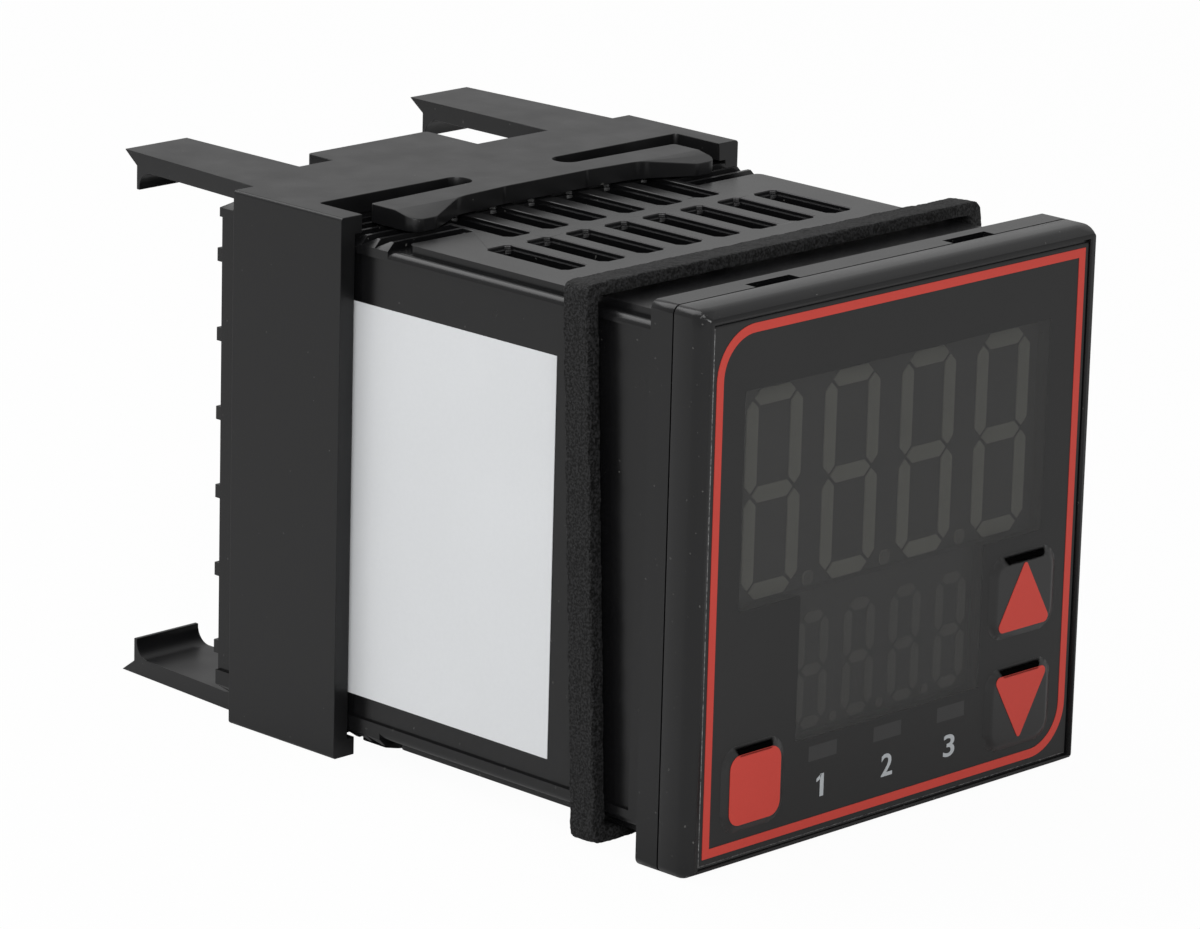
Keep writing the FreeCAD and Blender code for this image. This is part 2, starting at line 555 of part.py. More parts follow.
def build_terminals():
    block_width = "card_pitch"
    block_height = f"({cavity_height} - 2*block_clearance)"
    rear = "(sleeve_length + fin_overhang)"
    for name, middle in columns.items():
        block = piece(f"terminal_block_{name}")
        left, right = f"({middle} - {block_width}/2)", f"({middle} + {block_width}/2)"
        low, high = f"(-{block_height}/2)", f"({block_height}/2)"
        pad(block, "base", "Y", "block_front", "block_floor", rectangle(left, right, low, high))
        # Barriers between the rows stand on the base, with a low wall down each side.
        fins = [f"(row_level + row_pitch*{i - row_count / 2})" for i in range(row_count + 1)]
        pad(block, "barriers", "Y", "block_floor", rear,
            *[rectangle(f"{left} + running_gap", f"{right} - running_gap", f"{level} - fin_thickness/2",
                        f"{level} + fin_thickness/2") for level in fins])
        pad(block, "walls", "Y", "block_floor", "block_floor + screw_head + plate_thickness",
            rectangle(left, f"{left} + column_wall", low, high),
            rectangle(f"{right} - column_wall", right, low, high))
        # A slot takes the rear edge of the card and its contacts.
        gap = "(card_thickness/2 + contact_thickness + card_clearance)"
        pocket(block, "card_slot", "Y", "block_front", f"{card_rear} + running_gap",
               rectangle(f"{middle} - {gap}", f"{middle} + {gap}", "-card_height/2 - card_clearance",
                         "card_height/2 + card_clearance"))
    for name, middle in columns.items():
        plates = piece(f"terminal_plates_{name}")
        screw_across = f"({middle} + card_thickness/2)"
        half = "plate_width/2"
        pad(plates, "plates", "Y", "block_floor", "block_floor + plate_thickness",
            *[rectangle(f"{screw_across} - {half}", f"{screw_across} + {half}", f"{up} - plate_height/2",
                        f"{up} + plate_height/2") for up in rows])
    for name, middle in columns.items():
        screws = piece(f"terminal_screws_{name}")
        screw_across = f"({middle} + card_thickness/2)"
        seat = "(block_floor + plate_thickness)"
        pad(screws, "heads", "Y", seat, f"{seat} + screw_head",
            *[circle(screw_across, up, "screw_radius") for up in rows])
    for name, middle in columns.items():
        contacts = piece(f"edge_contacts_{name}")
        inner = "(card_thickness/2 + card_clearance)"
        outer = f"({inner} + contact_thickness)"
        loops = []
        for up in rows:
            for start, end in ((f"{middle} + {inner}", f"{middle} + {outer}"),
                               (f"{middle} - {outer}", f"{middle} - {inner}")):
                loops.append(rectangle(start, end, f"{up} - contact_height/2", f"{up} + contact_height/2"))
        pad(contacts, "leaves", "Y", f"{card_rear} + running_gap - contact_length",
            f"{card_rear} + running_gap", *loops)


def build_gasket():
    body = piece("panel_gasket")
    width, height = "(sleeve_width + 2*gasket_clearance)", "(sleeve_height + 2*gasket_clearance)"
    half = "(gasket_thickness/2)"
    pad(body, "ring", "Y", f"-{half}", half, around(width, height),
        around(f"{width} + 2*gasket_side", f"{height} + 2*gasket_rim", "gasket_corner"))
    body.Placement = FreeCAD.Placement(FreeCAD.Vector(0, 1, 0), FreeCAD.Rotation(FreeCAD.Vector(-1, 0, 0), 1))
    bind(body, "Placement.Base.y", "gasket_place")
    bind(body, "Placement.Rotation.Angle", "gasket_tilt")


def build_clamp():
    body = piece("panel_clamp")
    inner_width = "(sleeve_width + 2*clamp_clearance)"
    inner_height = "(sleeve_height + 2*clamp_clearance)"
    rear = "(clamp_start + clamp_length)"
    pad(body, "collar", "Y", "clamp_start", rear, around("face_width", "face_height", "clamp_corner"))
    strip = "(face_width/2 - strip_width)"
    bar_rear = "(clamp_start + spring_width)"
    slot_rear = f"({bar_rear} + spring_slot)"
    # The upper face carries a pair of spring wings, a tab and two arms; the lower face is the same
    # turned half round, so its outlines are mirrored across.
    for name, turn in (("upper", ""), ("lower", "-")):
        inside, outside = f"{inner_height}/2", "face_height/2"
        levels = (inside, outside) if not turn else (f"-{outside}", f"-{inside}")

        def across(value):
            return f"{turn}({value})"

        front = "(clamp_start - wing_reach)"
        lift = "(clamp_start - wing_lift)"
        rim = "(clamp_start + clamp_overlap)"
        wings = outline((across("-wing_tip"), rim), (across("-wing_tip"), front, "wing_radius"),
                        (across("-wing_tip + wing_flat"), front, "wing_radius"),
                        (across("-wing_middle"), lift, "wing_curve"),
                        (across("-wing_start"), "clamp_start", "wing_curve"),
                        (across("wing_start"), "clamp_start", "wing_curve"),
                        (across("wing_middle"), lift, "wing_curve"),
                        (across("wing_tip - wing_flat"), front, "wing_radius"),
                        (across("wing_tip"), front, "wing_radius"), (across("wing_tip"), rim))
        pad(body, f"{name}_wings", "Z", *levels, wings)
        back = f"({rear} - clamp_overlap)"
        web_end = across("-arm_inner - clamp_overlap")
        tab = outline((web_end, back), (across("tab_right"), back),
                      (across("tab_right"), f"{rear} + tab_length", "tab_radius"),
                      (across("-tab_left"), f"{rear} + tab_length", "tab_radius"),
                      (across("-tab_left"), f"{rear} + web_length"), (web_end, f"{rear} + web_length"))
        pad(body, f"{name}_tab", "Z", *levels, tab)
        tip = f"({rear} + arm_length)"
        lip_rear = f"({tip} - tip_slant)"
        lip_front = f"({lip_rear} - lip_wall)"
        low, high = f"{turn}({inside})", f"{turn}({outside})"
        for side_name, side in (("left", "-"), ("right", "")):
            start, end = f"{side}arm_inner", f"{side}arm_outer"
            if side:
                start, end = end, start
            pad(body, f"{name}_{side_name}_arm", "X", start, end,
                outline((back, low), (lip_front, low, "lip_fillet"),
                        (lip_front, f"{turn}({inside} - lip_depth)"),
                        (lip_rear, f"{turn}({inside} - lip_depth)"),
                        (lip_rear, f"{turn}({outside} - tip_drop)"), (tip, high), (back, high)))
            pocket(body, f"{name}_{side_name}_taper", "Z",
                   *((f"{inside} - lip_depth", outside) if not turn else
                     (f"-({outside})", f"-({inside} - lip_depth)")),
                   outline((f"{side}arm_outer", rear), (f"{side}(arm_outer - arm_taper)", tip),
                           (f"{side}(arm_outer + arm_taper)", tip)))
        # The long slots free the front bar as a leaf spring, and the gap beside each tip lets it move.
        for side_name, side in (("left", "-"), ("right", "")):
            pocket(body, f"{name}_{side_name}_slot", "Z", *levels,
                   outline((f"{side}slot_end", bar_rear, "slot_radius"),
                           (f"{side}wing_tip", f"{bar_rear} - slot_narrowing", "slot_corner"),
                           (f"{side}wing_tip", "clamp_start"), (f"{side}{strip}", "clamp_start"),
                           (f"{side}{strip}", slot_rear, "slot_corner"),
                           (f"{side}slot_end", slot_rear, "slot_radius")))
        # The wings slope down to their front edge.
        crest = "(clamp_start - bevel_start)"
        pocket(body, f"{name}_bevel", "X", "-wing_tip", "wing_tip",
               outline((crest, high), (front, f"{turn}({outside} - wing_bevel)"), (front, high)))
    pocket(body, "opening", "Y", "clamp_start - wing_reach", rear, around(inner_width, inner_height))


def build_label():
    body = piece("side_label")
    start = f"(-{half_width} + panel_recess - label_thickness)"
    pad(body, "sheet", "X", start, f"-{half_width} + panel_recess",
        rectangle("label_front", "label_front + label_length", "label_top - label_height", "label_top"))


build_sleeve()
build_label()
build_gasket()
build_terminals()
build_bezel()
build_film()
build_display("upper", window_waist, window_top)
build_display("lower", window_bottom, window_waist)
build_keys()
build_boards()
build_clamp()
doc.recompute()

for item in doc.Objects:
    if "Invalid" in item.State or "Error" in item.State:
        raise RuntimeError(f"{item.Label} is not built: {item.State}")
    if item.TypeId == "PartDesign::Pocket" and item.Shape.Volume > item.BaseFeature.Shape.Volume - 0.001:
        raise RuntimeError(f"{item.Label} cuts nothing")

os.makedirs("parts", exist_ok=True)
for body in pieces:
    if body.Shape.isNull() or not body.Shape.isValid():
        raise RuntimeError(f"{body.Label} has no valid shape")
    body.Shape.exportStep(f"parts/{body.Label}.step")
    print(f"{body.Label}: {len(body.Shape.Solids)} solids, {body.Shape.Volume:.1f} mm3")
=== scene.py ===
import bmesh
import bpy
import json
import math
from mathutils import Matrix, Vector


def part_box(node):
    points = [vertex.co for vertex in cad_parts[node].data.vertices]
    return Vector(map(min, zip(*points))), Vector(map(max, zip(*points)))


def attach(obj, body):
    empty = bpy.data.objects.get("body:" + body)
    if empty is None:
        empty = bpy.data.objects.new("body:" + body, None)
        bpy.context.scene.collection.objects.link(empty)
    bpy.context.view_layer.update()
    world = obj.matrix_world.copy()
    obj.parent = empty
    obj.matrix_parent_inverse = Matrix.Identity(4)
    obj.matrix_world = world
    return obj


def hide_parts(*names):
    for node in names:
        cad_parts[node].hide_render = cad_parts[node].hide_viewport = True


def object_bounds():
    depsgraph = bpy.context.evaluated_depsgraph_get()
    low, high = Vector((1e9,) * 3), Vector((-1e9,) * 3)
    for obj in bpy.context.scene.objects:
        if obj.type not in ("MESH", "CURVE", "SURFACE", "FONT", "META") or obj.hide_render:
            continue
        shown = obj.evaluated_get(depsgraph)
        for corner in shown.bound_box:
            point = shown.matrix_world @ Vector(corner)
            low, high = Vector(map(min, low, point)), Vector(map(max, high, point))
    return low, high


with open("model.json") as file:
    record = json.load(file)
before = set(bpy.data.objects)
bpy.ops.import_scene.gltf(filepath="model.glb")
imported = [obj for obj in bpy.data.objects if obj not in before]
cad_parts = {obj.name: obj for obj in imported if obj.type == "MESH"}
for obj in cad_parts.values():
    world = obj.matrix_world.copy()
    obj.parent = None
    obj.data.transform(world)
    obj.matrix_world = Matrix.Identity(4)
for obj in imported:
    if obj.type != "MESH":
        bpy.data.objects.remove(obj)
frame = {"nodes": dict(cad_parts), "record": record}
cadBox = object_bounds()
mm = 0.001
nearMm = 0.01  # places this close together count as one
near = nearMm * mm
weld = 0.0005 * mm  # doubled corners lie closer than this
bpy.context.scene.view_settings.view_transform = "Standard"


def deselectAll():
    bpy.ops.object.select_all(action="DESELECT")


deselectAll()
print("frame loaded:", len(frame["nodes"]), "nodes")


# Colours are written as sRGB hex values.
def linear(hexColour):
    channels = [int(hexColour[i:i + 2], 16) / 255 for i in (1, 3, 5)]
    return [c / 12.92 if c <= 0.04045 else ((c + 0.055) / 1.055) ** 2.4 for c in channels] + [1]


def addNode(tree, kind, settings=None, links=None):
    node = tree.nodes.new(kind)
    for key, value in (settings or {}).items():
        if isinstance(key, int) or key in node.inputs:
            node.inputs[key].default_value = value
        else:
            setattr(node, key, value)
    for key, source in (links or {}).items():
        tree.links.new(source, node.inputs[key])
    return node


def addMath(tree, operation, settings=None, links=None):
    return addNode(tree, "ShaderNodeMath", {"operation": operation, **(settings or {})}, links).outputs[0]


def mixColours(tree, settings, links):
    return addNode(tree, "ShaderNodeMix", {"data_type": "RGBA", **settings}, links).outputs[2]


def newMaterial(name):
    material = bpy.data.materials.new(name)
    material.use_nodes = True
    tree = material.node_tree
    tree.nodes.clear()
    shader = addNode(tree, "ShaderNodeBsdfPrincipled")
    addNode(tree, "ShaderNodeOutputMaterial", links={"Surface": shader.outputs["BSDF"]})
    place = addNode(tree, "ShaderNodeTexCoord").outputs["Object"]
    return material, tree, shader, place


# Camera: a long lens from the left front, a little above, rolled slightly.
view = {"azimuth": 45.694, "elevation": 15.527, "roll": 1.541, "distanceMm": 506.6,
        "aimMm": (-13.28, 15.66, 4.88), "lens": 183.2}


def placeCamera():
    azimuth, elevation = math.radians(view["azimuth"]), math.radians(view["elevation"])
    forward = Vector((math.sin(azimuth) * math.cos(elevation), math.cos(azimuth) * math.cos(elevation),
                      -math.sin(elevation)))
    roll = Matrix.Rotation(math.radians(view["roll"]), 3, "Z")
    data = bpy.data.cameras.new("camera")
    data.lens, data.sensor_width = view["lens"], 36
    data.clip_start, data.clip_end = 0.01, 50
    camera = bpy.data.objects.new("camera", data)
    bpy.context.scene.collection.objects.link(camera)
    camera.location = Vector(view["aimMm"]) * mm - forward * view["distanceMm"] * mm
    camera.rotation_euler = (forward.to_track_quat("-Z", "Y").to_matrix() @ roll).to_euler()
    bpy.context.scene.camera = camera


placeCamera()
print("camera placed")

# Studio: a white sweep, soft light from all round, a wide soft box overhead and one from the left.
# The camera sees the background white, and mirror-like surfaces see it at the plain level of the room.
studio = {"floor": "#d2d2d2", "floorSizeM": 6, "floorGapMm": 0.02, "ambient": 0.44, "mirrored": 0.56,
          "floorGlow": 0.97, "floorRough": 0.9}
lamps = {"overhead": {"placeMm": (-120, 320, 560), "sizeMm": 560, "watts": 2.6},
         "frontLeft": {"placeMm": (-500, -520, 420), "sizeMm": 420, "watts": 3.9}}


# One where the camera sees a thing itself or through a clear one, and nought for other rays.
def seenByCamera(tree, path):
    return addMath(tree, "MAXIMUM", links={0: path.outputs["Is Camera Ray"],
                                           1: path.outputs["Is Transmission Ray"]})


def buildRoom():
    world = bpy.data.worlds.new("studio")
    bpy.context.scene.world = world
    world.use_nodes = True
    tree = world.node_tree
    tree.nodes.clear()
    path = addNode(tree, "ShaderNodeLightPath")
    room = addNode(tree, "ShaderNodeMapRange", {"To Min": studio["ambient"], "To Max": studio["mirrored"]},
                   {"Value": path.outputs["Is Glossy Ray"]})
    plain = addNode(tree, "ShaderNodeBackground", {"Color": (1, 1, 1, 1)}, {"Strength": room.outputs[0]})
    white = addNode(tree, "ShaderNodeBackground", {"Color": (1, 1, 1, 1), "Strength": 1})
    mix = addNode(tree, "ShaderNodeMixShader", links={0: seenByCamera(tree, path), 1: plain.outputs[0],
                                                      2: white.outputs[0]})
    addNode(tree, "ShaderNodeOutputWorld", links={"Surface": mix.outputs[0]})


def buildLamps():
    for name, lamp in lamps.items():
        light = bpy.data.lights.new(name, "AREA")
        light.shape, light.size, light.energy = "SQUARE", lamp["sizeMm"] * mm, lamp["watts"]
        item = bpy.data.objects.new(name, light)
        bpy.context.scene.collection.objects.link(item)
        item.location = Vector(lamp["placeMm"]) * mm
        item.rotation_euler = (-item.location).to_track_quat("-Z", "Y").to_euler()


def buildFloor():
    level = cadBox[0][2] - studio["floorGapMm"] * mm
    bpy.ops.mesh.primitive_plane_add(size=studio["floorSizeM"], location=(0, 0, level))
    floor = bpy.context.object
    floor.name = "floor"
    bpy.ops.object.transform_apply(location=True)
    material, tree, shader = newMaterial("paintedSweep")[:3]
    shader.inputs["Base Color"].default_value = linear(studio["floor"])
    shader.inputs["Roughness"].default_value = studio["floorRough"]
    seen = seenByCamera(tree, addNode(tree, "ShaderNodeLightPath"))
    glow = addNode(tree, "ShaderNodeEmission", {"Color": (1, 1, 1, 1), "Strength": 1})
    share = addMath(tree, "MULTIPLY", {1: studio["floorGlow"]}, {0: seen})
    mix = addNode(tree, "ShaderNodeMixShader", links={0: share, 1: shader.outputs[0], 2: glow.outputs[0]})
    output = next(node for node in tree.nodes if node.type == "OUTPUT_MATERIAL")
    tree.links.new(mix.outputs[0], output.inputs["Surface"])
    floor.data.materials.append(material)


buildRoom()
buildLamps()
buildFloor()
deselectAll()
print("studio built")

# Specks of dust on the mouldings: a look's dust value says how rare they are.
dust = {"pitchMm": 0.4, "colour": "#4a4a48", "edge": 0.03}
# Copper tracks of the boards, as shares of a look's tracksMm.
copper = {"wide": 0.06, "long": 5.3, "apart": 0.5}


# Lays copper tracks over a colour: they are the joints of a wall of long, offset bricks.
def addTracks(tree, place, look, colour):
    black, white = (0, 0, 0, 1), (1, 1, 1, 1)
    parts = addNode(tree, "ShaderNodeSeparateXYZ", links={0: place})
    sheet = addNode(tree, "ShaderNodeCombineXYZ", links={0: parts.outputs["Y"], 1: parts.outputs["Z"]})
    bricks = {"Scale": 1 / (look["tracksMm"] * mm), "Mortar Size": copper["wide"],
              "Brick Width": copper["long"], "Row Height": copper["apart"],
              "Color1": black, "Color2": black, "Mortar": white}
    tracks = addNode(tree, "ShaderNodeTexBrick", bricks, {"Vector": sheet.outputs[0]})
    return mixColours(tree, {7: linear(look["tracks"])}, {0: tracks.outputs["Color"], 6: colour})


def addDust(tree, place, look, colour):
    lint = addNode(tree, "ShaderNodeTexNoise", {"Scale": 1 / (dust["pitchMm"] * mm), "Detail": 1.0},
                   {"Vector": place})
    spot = addNode(tree, "ShaderNodeMapRange", {"From Min": look["dust"],
                                                "From Max": look["dust"] + dust["edge"]},
                   {"Value": lint.outputs["Fac"]})
    return mixColours(tree, {7: linear(dust["colour"])}, {0: spot.outputs[0], 6: colour})


# Moulded, printed and pressed finishes differ in a few values; each look says what it is.
# grainMm is the size of the surface's texture, depthMm its height and cloudMm the size of slow
# variation, which cells narrows to light and dark. speckle darkens the grain's hollows, spread varies the
# roughness and a low ior weakens the sheen. The real grain of mouldings, film and ink is finer than
# 0.1 mm and is drawn at 0.18 to 0.4 mm, or it wouldn't show.
def grainedFinish(name, look):
    material, tree, shader, place = newMaterial(name)
    shader.inputs["Metallic"].default_value = look.get("metallic", 0)
    if "ior" in look:
        shader.inputs["IOR"].default_value = look["ior"]
    if "coat" in look:
        shader.inputs["Coat Weight"].default_value = look["coat"]
        shader.inputs["Coat Roughness"].default_value = 0.1
    if "alpha" in look:
        shader.inputs["Alpha"].default_value = look["alpha"]
        material.surface_render_method = "BLENDED"
    grain = addNode(tree, "ShaderNodeTexNoise", {"Scale": 1 / (look["grainMm"] * mm), "Detail": 2.0,
                                                 "Roughness": 0.55}, {"Vector": place}).outputs["Fac"]
    cloud = addNode(tree, "ShaderNodeTexNoise", {"Scale": 1 / (look["cloudMm"] * mm), "Detail": 3.0},
                    {"Vector": place}).outputs["Fac"]
    cells = look.get("cells", 0.5)
    share = addNode(tree, "ShaderNodeMapRange", {"From Min": 0.5 - cells, "From Max": 0.5 + cells},
                    {"Value": cloud})
    tint = mixColours(tree, {6: linear(look["dark"]), 7: linear(look["light"])}, {0: share.outputs[0]})
    colour = mixColours(tree, {"blend_type": "MULTIPLY", 0: look.get("speckle", 0.15)}, {6: tint, 7: grain})
    if "tracksMm" in look:
        colour = addTracks(tree, place, look, colour)
    if "dust" in look:
        colour = addDust(tree, place, look, colour)
    swing = look.get("spread", 0.05)
    rough = addNode(tree, "ShaderNodeMapRange", {"To Min": look["roughness"] - swing,
                                                 "To Max": look["roughness"] + swing}, {"Value": cloud})
    bump = addNode(tree, "ShaderNodeBump", {"Strength": 1.0, "Distance": look["depthMm"] * mm},
                   {"Height": grain})
    for socket, source in (("Base Color", colour), ("Roughness", rough.outputs[0]),
                           ("Normal", bump.outputs[0])):
        tree.links.new(source, shader.inputs[socket])
    return material


looks = {
    # ABS from a fine spark-eroded mould: satin black, soft highlights, a little dust
    "mouldedAbs": {"dark": "#0b0b0c", "light": "#101011", "roughness": 0.25, "ior": 1.42, "grainMm": 0.22,
                   "depthMm": 0.003, "cloudMm": 6, "dust": 0.76},
    # the clamp's ABS has a duller, slightly streaky face
    "satinAbs": {"dark": "#0c0c0d", "light": "#131314", "roughness": 0.36, "ior": 1.42, "grainMm": 0.3,
                 "depthMm": 0.003, "cloudMm": 3.5, "dust": 0.78, "spread": 0.08},
    # black polycarbonate face of the display, smooth
    "blackFace": {"dark": "#101010", "light": "#141414", "roughness": 0.35, "grainMm": 0.4,
                  "depthMm": 0.0001, "cloudMm": 5},
    # glass-filled nylon, moulded: duller, with fine flow marks
    "mouldedNylon": {"dark": "#111111", "light": "#171717", "roughness": 0.4, "ior": 1.45, "grainMm": 0.25,
                     "depthMm": 0.004, "cloudMm": 4, "dust": 0.77},
    # polyester film printed dark grey on the back, with a fine matt face
    "printedPolyesterFilm": {"dark": "#272727", "light": "#2c2c2c", "roughness": 0.42, "ior": 1.3,
                             "grainMm": 0.18, "depthMm": 0.002, "cloudMm": 9, "speckle": 0.1},
    # the same film where it's embossed over the keys: stretched smoother, so its slopes catch
    # a soft line of light
    "embossedPolyester": {"dark": "#161616", "light": "#1a1a1a", "roughness": 0.33, "ior": 1.5,
                          "grainMm": 0.18, "depthMm": 0.001, "cloudMm": 9, "speckle": 0.1},
    # the same film where it's clear over the display: a hazy grey that the digits show through
    "smokedPolyester": {"dark": "#474747", "light": "#4b4b4a", "roughness": 0.42, "ior": 1.28,
                        "grainMm": 0.18, "depthMm": 0.0004, "cloudMm": 9, "speckle": 0.05, "alpha": 0.5},
    # the die-cut edge of the film: a painted highlight, light grey in broken dots, where the clear plastic
    # catches the light
    "cutPolyester": {"dark": "#2a2a2a", "light": "#b8b8b8", "roughness": 0.6, "grainMm": 0.3,
                     "depthMm": 0.02, "cloudMm": 0.25, "cells": 0.2, "speckle": 0.5},
    # screen-printed red ink: flat and nearly matt
    "screenInkRed": {"dark": "#be4037", "light": "#c6453b", "roughness": 0.45, "ior": 1.3, "grainMm": 0.18,
                     "depthMm": 0.002, "cloudMm": 5, "speckle": 0.08},
    # the light grey ink of the numerals
    "screenInkGrey": {"dark": "#a4a9ac", "light": "#b2b6b9", "roughness": 0.5, "grainMm": 0.18,
                      "depthMm": 0.002, "cloudMm": 2, "speckle": 0.05},
    # unlit segments: translucent epoxy over the diodes
    "milkyEpoxy": {"dark": "#b4b4a6", "light": "#c2c2b4", "roughness": 0.4, "grainMm": 0.2,
                   "depthMm": 0.001, "cloudMm": 2, "speckle": 0.05},
    # the same epoxy where less of it shows: the small digits and the points
    "thinEpoxy": {"dark": "#6b6b63", "light": "#74746c", "roughness": 0.4, "grainMm": 0.2,
                  "depthMm": 0.001, "cloudMm": 2, "speckle": 0.05},
    # painted shade: matt black over the upper slope of the keys, where the slope lies in shade
    "mattInkBlack": {"dark": "#020202", "light": "#030303", "roughness": 0.7, "ior": 1.05, "grainMm": 0.2,
                     "depthMm": 0.001, "cloudMm": 2, "speckle": 0.05},
    # foam rubber, die-cut: open matt cells, nearly black
    "foamRubber": {"dark": "#020202", "light": "#303031", "roughness": 0.7, "ior": 1.33, "grainMm": 0.24,
                   "depthMm": 0.16, "cloudMm": 0.21, "cells": 0.07, "speckle": 0.8},
    # white vinyl, printed side bare: smooth, a little cooler than paper
    "vinylLabel": {"dark": "#d6d8da", "light": "#dcdee0", "roughness": 0.5, "grainMm": 0.4,
                   "depthMm": 0.002, "cloudMm": 12, "speckle": 0.04},
    # brass pressed from strip: warm, softly shining
    "stampedBrass": {"dark": "#a98d4a", "light": "#c0a35c", "roughness": 0.3, "grainMm": 0.2,
                     "depthMm": 0.003, "cloudMm": 2, "metallic": 1},
    # machined screws, zinc plated: bright with a bluish cast
    "zincPlatedSteel": {"dark": "#9b9da1", "light": "#b6b8bb", "roughness": 0.28, "grainMm": 0.2,
                        "depthMm": 0.002, "cloudMm": 2, "metallic": 1},
    # solder mask over glass epoxy: glossy green, lighter over the copper tracks
    "solderMask": {"dark": "#0f4a24", "light": "#15592c", "roughness": 0.35, "grainMm": 0.5,
                   "depthMm": 0.006, "cloudMm": 3, "coat": 0.4, "tracksMm": 2.4, "tracks": "#1f7a3d"},
    # pressed and sintered ferrite: dull slate
    "sinteredFerrite": {"dark": "#2b2b2d", "light": "#37373a", "roughness": 0.6, "grainMm": 0.3,
                        "depthMm": 0.01, "cloudMm": 2},
    # polyester tape wound over the coil: amber, slightly rippled
    "polyesterTape": {"dark": "#b58a1e", "light": "#c99a28", "roughness": 0.3, "grainMm": 0.8,
                      "depthMm": 0.02, "cloudMm": 3},
    # shrunk vinyl sleeve of an electrolytic capacitor
    "canSleeve": {"dark": "#1c2440", "light": "#232d50", "roughness": 0.3, "grainMm": 0.5,
                  "depthMm": 0.004, "cloudMm": 4},
    # relay case moulded in polyester
    "relayPolyester": {"dark": "#143a73", "light": "#194582", "roughness": 0.32, "grainMm": 0.4,
                       "depthMm": 0.004, "cloudMm": 4},
    # transfer-moulded epoxy of a chip package
    "chipEpoxy": {"dark": "#1b1b1c", "light": "#232324", "roughness": 0.6, "grainMm": 0.2,
                  "depthMm": 0.006, "cloudMm": 2},
    # acrylic light pipes behind the hazy film
    "clearAcrylic": {"dark": "#363636", "light": "#3d3d3d", "roughness": 0.4, "ior": 1.28, "grainMm": 0.2,
                     "depthMm": 0.002, "cloudMm": 2, "speckle": 0.05},
    # moulded thermoset of the small parts: cream, nearly matt
    "creamThermoset": {"dark": "#c9c3ad", "light": "#d8d2bd", "roughness": 0.45, "grainMm": 0.3,
                       "depthMm": 0.004, "cloudMm": 2},
}
finishes = {name: grainedFinish(name, look) for name, look in looks.items()}
print("materials made:", len(finishes))

finishOfSlot = {
    "housing_plastic": "mouldedAbs", "terminal_plastic": "mouldedNylon", "gasket_rubber": "foamRubber",
    "smoked_window": "smokedPolyester", "red_ink": "screenInkRed", "segment_diffuser": "milkyEpoxy",
    "display_case": "blackFace", "key_film": "embossedPolyester", "film_grey": "printedPolyesterFilm",
    "label_white": "vinylLabel", "terminal_brass": "stampedBrass", "screw_steel": "zincPlatedSteel",
    "circuit_board": "solderMask", "light_pipe": "clearAcrylic", "lamp_body": "creamThermoset",
    "switch_case": "mouldedNylon", "button_plastic": "creamThermoset", "header_plastic": "creamThermoset",
    "ferrite": "sinteredFerrite", "winding_tape": "polyesterTape", "capacitor_sleeve": "canSleeve",
    "relay_case": "relayPolyester", "chip_epoxy": "chipEpoxy",
}
slotOf = {part["node"]: part["material_slot"] for part in frame["record"]["subparts"]}

for nodeName, node in frame["nodes"].items():
    finish = "satinAbs" if nodeName == "panel_clamp" else finishOfSlot[slotOf[nodeName]]
    node.data.materials.clear()
    node.data.materials.append(finishes[finish])
print("CAD nodes dressed")


def editPiece(piece):
    deselectAll()
    bpy.context.view_layer.objects.active = piece
    piece.select_set(True)
    bpy.ops.object.mode_set(mode="EDIT")


def applyModifier(piece, kind, **settings):
    bpy.context.view_layer.objects.active = piece
    modifier = piece.modifiers.new(kind.lower(), kind)
    for key, value in settings.items():
        setattr(modifier, key, value)
    bpy.ops.object.modifier_apply(modifier=modifier.name)


def setMaterial(piece, material):
    piece.data.materials.clear()
    piece.data.materials.append(material)


# The lowest and highest corner of a piece's mesh.
def meshBox(piece):
    places = [[vertex.co[axis] for vertex in piece.data.vertices] for axis in range(3)]
    return [min(values) for values in places], [max(values) for values in places]


def bodyOf(nodeName):
    bodies = frame["record"]["behaviour"]["bodies"]
    return next(name for name, nodes in bodies.items() if nodeName in nodes)


def linkedCopy(item):
    twin = item.copy()
    twin.data = item.data.copy()
    bpy.context.scene.collection.objects.link(twin)
    return twin


# A copy of a CAD node as one closed mesh, with its flat faces whole again.
def copyNode(nodeName):
    piece = linkedCopy(frame["nodes"][nodeName])
    words = nodeName.split("_")
    piece.name = words[0] + "".join(word.capitalize() for word in words[1:])
    piece.parent = None
    piece.matrix_world = Matrix.Identity(4)
    editPiece(piece)
    bpy.ops.mesh.select_all(action="SELECT")
    bpy.ops.mesh.remove_doubles(threshold=weld)
    bpy.ops.mesh.dissolve_limited(angle_limit=math.radians(0.5))
    bpy.ops.object.mode_set(mode="OBJECT")
    return piece


# Rounds the edges that a test picks, each given as its two ends.
def roundEdges(piece, test, widthMm, segments, materialIndex=-1):
    editPiece(piece)
    bpy.ops.mesh.select_mode(type="EDGE")
    bpy.ops.mesh.select_all(action="DESELECT")
    mesh = bmesh.from_edit_mesh(piece.data)
    for edge in mesh.edges:
        if len(edge.link_faces) == 2 and test(*(vertex.co for vertex in edge.verts)):
            edge.select_set(True)
    bmesh.update_edit_mesh(piece.data)
    bpy.ops.mesh.bevel(offset=widthMm * mm, segments=segments, material=materialIndex, clamp_overlap=True)
    bpy.ops.object.mode_set(mode="OBJECT")


# Whether both ends of an edge lie at a given depth.
def bothAt(depth, a, b):
    return max(abs(a.y - depth), abs(b.y - depth)) < near


# Eases the edges whose faces meet at more than an angle.
def bevelSharp(piece, widthMm, angle=38):
    applyModifier(piece, "BEVEL", width=widthMm * mm, segments=2, limit_method="ANGLE",
                  angle_limit=math.radians(angle), use_clamp_overlap=True)
